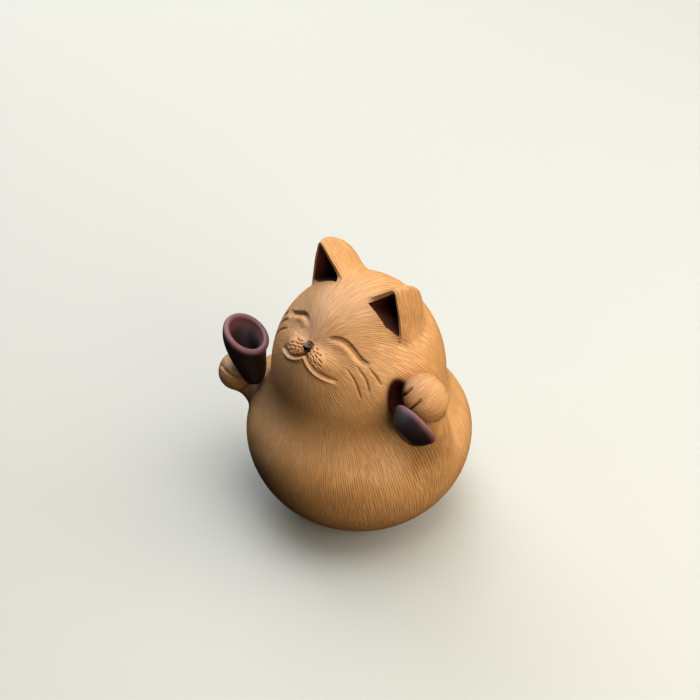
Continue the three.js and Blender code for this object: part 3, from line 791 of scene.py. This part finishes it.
def yellowClayMaterial():
    # Yellow stoneware, unglazed, carved with a comb of strokes and then rubbed: matt with a faint sheen and
    # fine sandy grain; painted shade darkens the colour in the strokes and where the clay is cut
    look = yellowClayLook
    material, tree, shader = newMaterial("yellowStoneware")
    where = node(tree, "TexCoord").outputs["Object"]
    cut, spread, share, calm = (node(tree, "Attribute", {"attribute_name": name}).outputs["Fac"]
                                for name in ("cutDepth", "furSpread", "limbShare", "furCalm"))
    mottle = node(tree, "TexNoise", {"Scale": 1 / (look["mottle"] * mm), "Detail": 4.0}, {"Vector": where})
    grain = node(tree, "TexNoise", {"Scale": 1 / (look["grain"] * mm), "Detail": 2.0}, {"Vector": where})

    def strokes(uvMap, each):  # a cosine across the lines, swayed by one noise and broken by another
        place = node(tree, "UVMap", {"uv_map": uvMap}).outputs["UV"]
        scale = (each, 1 / look["strokeLength"], 1.0)
        place = node(tree, "Mapping", {"Scale": scale}, {"Vector": place}).outputs["Vector"]
        sway = node(tree, "TexNoise", {"Scale": 0.8, "Detail": 1.0}, {"Vector": place})
        gaps = node(tree, "TexNoise", {"Scale": 1.3, "Detail": 1.0}, {"Vector": place})
        across = node(tree, "SeparateXYZ", {}, {"Vector": place}).outputs["X"]
        swayed = node(tree, "Math", {"operation": "MULTIPLY_ADD", 1: look["sway"]},
                      {0: sway.outputs["Fac"], 2: across})
        turned = node(tree, "Math", {"operation": "MULTIPLY", 1: 2 * np.pi}, {0: swayed.outputs[0]})
        wave = node(tree, "Math", {"operation": "COSINE"}, {0: turned.outputs[0]})
        line = node(tree, "MapRange", {"interpolation_type": "SMOOTHSTEP", "From Min": 0.1},
                    {"Value": wave.outputs[0]})
        broken = {"interpolation_type": "SMOOTHSTEP", "From Min": 0.36, "From Max": 0.52}
        kept = node(tree, "MapRange", broken, {"Value": gaps.outputs["Fac"]})
        return node(tree, "Math", {"operation": "MULTIPLY"},
                    {0: line.outputs["Result"], 1: kept.outputs["Result"]}).outputs[0]

    near, middle, far = (strokes("furPlace", each) for each in (0.25, 0.5, 1.0))
    limb = strokes("limbPlace", 1.0)
    beyond = node(tree, "Math", {"operation": "SUBTRACT", 1: 1.0}, {0: spread}).outputs[0]
    inner = node(tree, "Mix", {}, {0: spread, 2: near, 3: middle})
    body = node(tree, "Mix", {}, {0: beyond, 2: inner.outputs[0], 3: far})
    whole = node(tree, "Mix", {}, {0: share, 2: body.outputs[0], 3: limb})
    line = node(tree, "Math", {"operation": "MULTIPLY"}, {0: whole.outputs[0], 1: calm}).outputs[0]

    base = node(tree, "Mix", {"data_type": "RGBA", 6: colour(look["dark"]), 7: colour(look["light"])},
                {0: mottle.outputs["Fac"]})
    # painted shade: the strokes and the carved depth mix the clay's colour towards a dark brown
    shade = node(tree, "Math", {"operation": "MULTIPLY_ADD", 1: look["strokeShade"]}, {0: line, 2: cut})
    shade.use_clamp = True
    filled = node(tree, "Mix", {"data_type": "RGBA", 7: colour(look["cut"])},
                  {0: shade.outputs[0], 6: base.outputs[2]})
    tree.links.new(filled.outputs[2], shader.inputs["Base Color"])
    reach = {"To Min": look["roughness"] - 0.06, "To Max": look["roughness"] + 0.1}
    rough = node(tree, "MapRange", reach, {"Value": grain.outputs["Fac"]})
    tree.links.new(rough.outputs["Result"], shader.inputs["Roughness"])
    sand = node(tree, "Bump", {"Strength": 0.3, "Distance": 0.05 * mm}, {"Height": grain.outputs["Fac"]})
    cuts = node(tree, "Bump", {"Strength": 1.0, "Distance": look["strokeRelief"] * mm, "invert": True},
                {"Height": line, "Normal": sand.outputs["Normal"]})
    tree.links.new(cuts.outputs["Normal"], shader.inputs["Normal"])
    shader.inputs["IOR"].default_value = 1.5
    return material


darkClayLook = {"deep": "#130605", "raised": "#220c0a", "lipHighlight": "#7a4d51", "roughness": 0.52}


def darkClayMaterial():
    # Purple-brown stoneware burnished on the wheel: dense, satin, with faint turning marks; a painted
    # highlight makes it a paler mauve on the lips and down the upper bore
    look = darkClayLook
    material, tree, shader = newMaterial("burnishedPurpleStoneware")
    where = node(tree, "TexCoord").outputs["Object"]
    patch = node(tree, "TexNoise", {"Scale": 160.0, "Detail": 3.0}, {"Vector": where})
    fine = node(tree, "TexNoise", {"Scale": 2200.0, "Detail": 2.0}, {"Vector": where})
    # painted highlight: paler mauve on the lips and the upper bore
    lipHighlight = node(tree, "Attribute", {"attribute_name": "paintedLipHighlight"}).outputs["Fac"]
    base = node(tree, "Mix", {"data_type": "RGBA", 6: colour(look["deep"]), 7: colour(look["raised"])},
                {0: patch.outputs["Fac"]})
    highlighted = node(tree, "Mix", {"data_type": "RGBA", 7: colour(look["lipHighlight"])},
                  {0: lipHighlight, 6: base.outputs[2]})
    tree.links.new(highlighted.outputs[2], shader.inputs["Base Color"])
    reach = {"To Min": look["roughness"] - 0.05, "To Max": look["roughness"] + 0.1}
    rough = node(tree, "MapRange", reach, {"Value": fine.outputs["Fac"]})
    tree.links.new(rough.outputs["Result"], shader.inputs["Roughness"])
    bump = node(tree, "Bump", {"Strength": 0.3, "Distance": 0.04 * mm}, {"Height": fine.outputs["Fac"]})
    tree.links.new(bump.outputs["Normal"], shader.inputs["Normal"])
    return material


# Red-brown slip brushed into the ear hollows, dull and uneven; on the walls of the undercut behind the
# raised paw the same material is painted shade
slipLook = {"name": "earSlipAndUndercutShade", "dark": "#3b1409", "light": "#682a14", "patches": 180.0, "detail": 3.0,
            "roughness": 0.6}
# Black clay polished to a gloss
blackClayLook = {"name": "polishedBlackClay", "dark": "#0b0605", "light": "#1a0f0d", "patches": 1500.0,
                 "detail": 2.0, "roughness": 0.16}


def mottledMaterial(look):  # two colours mixed by a noise
    material, tree, shader = newMaterial(look["name"])
    where = node(tree, "TexCoord").outputs["Object"]
    patch = node(tree, "TexNoise", {"Scale": look["patches"], "Detail": look["detail"]}, {"Vector": where})
    ends = {"data_type": "RGBA", 6: colour(look["dark"]), 7: colour(look["light"])}
    base = node(tree, "Mix", ends, {0: patch.outputs["Fac"]})
    tree.links.new(base.outputs[2], shader.inputs["Base Color"])
    shader.inputs["Roughness"].default_value = look["roughness"]
    return material


yellowStoneware = yellowClayMaterial()
earSlipAndUndercutShade = mottledMaterial(slipLook)
purpleStoneware = darkClayMaterial()
polishedBlack = mottledMaterial(blackClayLook)
print("materials made")

# The cat
cat = closedObject("clayCat", bodyRings(), yellowStoneware)
print("body surface", len(cat.data.vertices))
centre, (wide, deep, high) = bodyForm["undercut"]
upright = ((1, 0, 0), (0, 0, -1), (0, 1, 0))   # across, down, back: the poles lie above and below
undercut = ellipsoidRings(centre, (wide, high, deep), upright, 40, 60)
# the undercut's walls take the dark slip as painted shade of the crevice behind the paw
combine(cat, [closedObject("undercut", undercut, earSlipAndUndercutShade)], "DIFFERENCE")
joined = []
for side in (-1, 1):
    joined.append(closedObject("hood", earRings(side, earForm["hood"]), yellowStoneware))
for key in ("left", "right"):
    arm = armForm[key]
    columns = arm["columns"]
    joined.append(closedObject("arm", tubeRings(*armSpheres(arm), columns // 2), yellowStoneware))
    paw = ellipsoidRings(arm["paw"], arm["pawRadii"], pawAxes(arm), columns // 2, columns)
    joined.append(closedObject("paw", paw, yellowStoneware))
combine(cat, joined, "UNION")
print("joined", len(cat.data.vertices))

# Points off the joined value are settled on it: those inside it, and round the undercut those outside
seams = {"slack": 0.004, "undercutRim": 1.5, "above": 0.5}
points = meshPoints(cat)
value = catValue(points)
rim = (undercutValue(points) < seams["undercutRim"]) & (points[:, 0] < undercutInnerX)
loose = (value < -seams["slack"]) | ((value > seams["slack"]) & rim)
loose = np.where(loose & (points[:, 2] > seams["above"]))[0]
points[loose] = settle(points[loose], catValue)
setMeshPoints(cat, points)
print("seams blended", len(loose))

normals = meshNormals(cat)
height = faceCarving(points) + socketCarving(points) + toeCarving(points)
height -= furForm["depth"] * furDepth(points) * calmPlaces(points)
height = np.where(points[:, 2] < 0.3, 0, height)
setMeshPoints(cat, points + normals * height[:, None])
print("carved")

hollows = [closedObject("hollow", earRings(side, earForm["hollow"]), earSlipAndUndercutShade) for side in (-1, 1)]
rooms = [cupRoom(cupForm["tall"]), cupRoom(cupForm["shallow"])]
combine(cat, hollows + rooms, "DIFFERENCE")
points = meshPoints(cat)
calm = calmPlaces(points)
# Painted shade in the carving: how dark the clay is painted by its depth, shares by mm, and near the
# undercut a bell of painted shadow
shading = {"face": 1.5, "toes": 1.1, "fur": 0.22, "undercut": 0.95, "undercutWidth": 1.3, "most": 0.9}
cut = shading["fur"] * furDepth(points) * calm
cut -= shading["face"] * faceCarving(points) + shading["toes"] * toeCarving(points)
# painted shadow of the crevice behind the raised paw: a dark bell round the undercut
rim = shading["undercut"] * bell(np.maximum(undercutValue(points), 0), shading["undercutWidth"])
cut += np.where(points[:, 0] < undercutInnerX, rim, 0)
furSpread, limbShare = fineFur(cat, points)
attributes = {"cutDepth": np.clip(cut, 0, shading["most"]), "furSpread": furSpread, "limbShare": limbShare,
              "furCalm": calm * smoothStep(1 - 2 * cut)}
for name, values in attributes.items():
    cat.data.attributes.new(name, "FLOAT", "POINT").data.foreach_set("value", values)
cat.data.calc_loop_triangles()
print("hollows cut", len(cat.data.loop_triangles))

# Cups and nose
pieces = [(cat, "cat_body", "yellow_clay")]
for key, name, nodeName in (("tall", "tallCup", "right_cup"), ("shallow", "shallowBowl", "left_cup")):
    cup = cupForm[key]
    along, radius = cupProfile(cup)
    piece = closedObject(name, cupRings(cup, along, radius, cupForm["columns"]), purpleStoneware)
    # painted highlight on the lip and the upper bore, one value per point
    lipHighlight = np.repeat(paintedLipHighlight(cup, along[1:-1]), cupForm["columns"])
    lipHighlight = np.concatenate([[0], lipHighlight, [0]])
    piece.data.attributes.new("paintedLipHighlight", "FLOAT", "POINT").data.foreach_set("value", lipHighlight)
    pieces.append((piece, nodeName, "dark_clay"))


def nosePellet():  # the three-cornered outline swells and shrinks as a sine from back to front
    polar = np.linspace(0, np.pi, 30)[:, None]
    angle = 2 * np.pi * np.arange(60) / 60
    middle, radius = noseOutline(angle, 0.0)
    face = frontPoint(*noseAt)
    x = noseAt[0] + middle[0] + radius * np.cos(angle) * np.sin(polar)
    z = noseAt[1] + (middle[1] + radius * np.sin(angle)) * np.sin(polar)
    y = face[1] - faceForm["noseDepth"] / 2 * np.cos(polar) * np.ones_like(angle)
    return closedObject("nosePellet", np.stack([x, y, z], -1), polishedBlack)


pieces.append((nosePellet(), "nose", "black_clay"))
for piece, nodeName, slotName in pieces:
    piece.data.shade_smooth()
    if piece is cat:
        piece.data.set_sharp_from_angle(angle=radians(50))
    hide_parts(nodeName)
    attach(piece, "root")
print("pieces placed", len(pieces))

# Floor, light and camera
stageLook = {"floor": "#c2c4bb", "world": "#efe4d4", "worldStrength": 0.01,
             "aim": 0.05, "lampDistance": 0.65}   # height that the lamps face, in metres, and how far off
# direction from the figurine, size in metres, watts, colour
lights = {
    "overhead": ((0.1, 0.35, 0.93), 0.8, 4.2, "#fff2e0"),
    "top": ((0.0, 0.001, 1.0), 0.5, 2.4, "#d4e5ff"),
    "right": ((0.62, 0.66, 0.42), 0.5, 1.9, "#f8f2f4"),
    "side": ((0.9, -0.1, 0.42), 0.5, 2.8, "#fff0dc"),
    "left": ((-0.88, 0.35, 0.6), 0.5, 3.0, "#f2f0f4"),
    "window": ((-0.64, -0.4, 0.66), 0.6, 4.4, "#e0ecff"),   # seen only as a gloss on the clay
}


def stageFloor():  # a level square, far wider than the view
    half, below = 3000, -0.02
    corners = [(-half, -half, below), (half, -half, below), (half, half, below), (-half, half, below)]
    floor = newObject("floor", corners, [(0, 1, 2, 3)])
    material, tree, shader = newMaterial("paleMattPaper")
    shader.inputs["Base Color"].default_value = colour(stageLook["floor"])
    shader.inputs["Roughness"].default_value = 0.9
    floor.data.materials.append(material)
    floor.visible_diffuse = floor.visible_glossy = False   # no bright bounce on the figurine from below


def placed(right, up, back, place):
    return Matrix([[right[k], up[k], back[k], place[k]] for k in range(3)] + [[0, 0, 0, 1]])


def softLight(name, direction, size, power, code):  # a square panel that faces the figurine
    data = bpy.data.lights.new(name, "AREA")
    data.size, data.energy, data.color = size, power, colour(code)[:3]
    lamp = bpy.data.objects.new(name, data)
    bpy.context.scene.collection.objects.link(lamp)
    back = unit(direction)
    right = unit(np.cross([0, 0, 1], back))
    place = np.array([0, 0, stageLook["aim"]]) + stageLook["lampDistance"] * back
    lamp.matrix_world = placed(right, np.cross(back, right), back, place)
    return lamp


# Degrees and metres; focal length and width of the picture in pixels
view = {"turn": 47.2, "lift": 40.0, "distance": 0.8, "above": 0.04667, "aside": -0.003,
        "focal": 2400, "picture": 700}


def addCamera():
    turn, lift = radians(view["turn"]), radians(view["lift"])
    right = np.array([cos(turn), sin(turn), 0])
    back = np.array([sin(turn) * cos(lift), -cos(turn) * cos(lift), sin(lift)])
    up = np.cross(back, right)
    place = view["distance"] * back + view["above"] * up + view["aside"] * right
    data = bpy.data.cameras.new("camera")
    data.sensor_width = 36
    data.lens = view["focal"] * data.sensor_width / view["picture"]
    camera = bpy.data.objects.new("camera", data)
    bpy.context.scene.collection.objects.link(camera)
    camera.matrix_world = placed(right, up, back, place)
    bpy.context.scene.camera = camera


stageFloor()
addCamera()
for name, values in lights.items():
    lamp = softLight(name, *values)
    lamp.visible_diffuse = name != "window"
world = bpy.data.worlds.new("softRoom")
world.use_nodes = True
background = world.node_tree.nodes["Background"]
background.inputs["Color"].default_value = colour(stageLook["world"])
background.inputs["Strength"].default_value = stageLook["worldStrength"]
bpy.context.scene.world = world
bpy.context.scene.view_settings.view_transform = "Standard"
print("stage set")
